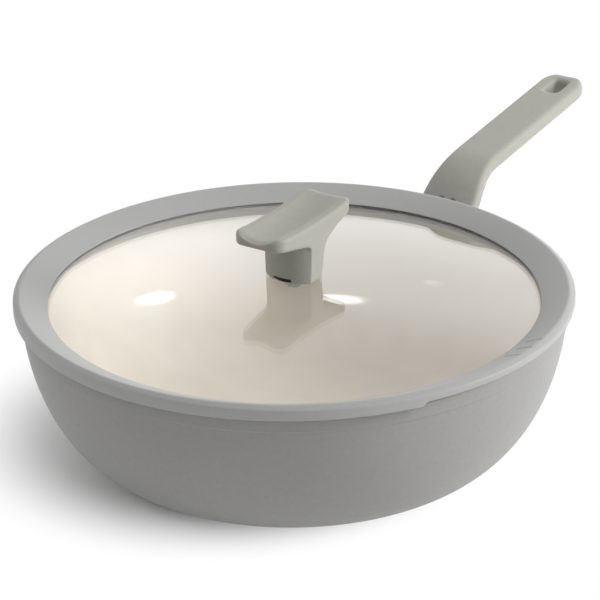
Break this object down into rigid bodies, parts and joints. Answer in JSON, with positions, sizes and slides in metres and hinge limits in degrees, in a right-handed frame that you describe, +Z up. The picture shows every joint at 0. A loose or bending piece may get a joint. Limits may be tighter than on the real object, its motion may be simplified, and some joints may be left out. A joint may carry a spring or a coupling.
{
  "type": "wok with lid",
  "caption": "Deep rounded wok with a stay-cool side handle and a domed glass lid in a soft rim, with a lifting knob, for frying and simmering.",
  "frame": {"origin": "middle of the base, on the surface it stands on", "axes": "+Z up through the knob, +X out along the handle"},
  "size_m": [0.4359, 0.29, 0.1319],
  "materials": {
    "pan_coat": "matt grey coating outside, pale ceramic coating inside",
    "plate_steel": "turned",
    "bracket_aluminium": "as cast",
    "grip": "soft touch",
    "screw_steel": "plain",
    "silicone": "matt silicone",
    "clear_silicone": "milky silicone",
    "black_rubber": "matt",
    "glass": "clear tempered",
    "insert_brass": "knurled"
  },
  "bodies": {
    "pan": {"pan_body": "pan_coat", "induction_plate": "plate_steel", "handle_bracket": "bracket_aluminium", "handle": "grip", "handle_washer": "screw_steel", "handle_screw": "screw_steel"},
    "lid": {"lid_rim": "silicone", "lid_glass": "glass", "knob": "grip", "knob_gasket": "black_rubber", "knob_insert": "insert_brass", "hole_grommet": "clear_silicone", "knob_washer": "screw_steel", "knob_screw": "screw_steel"}
  },
  "joints": [
    {"name": "lid_lift", "type": "slide", "parent": "pan", "child": "lid", "axis": [0, 0, 1], "range_m": [0, 0.15]}
  ]
}
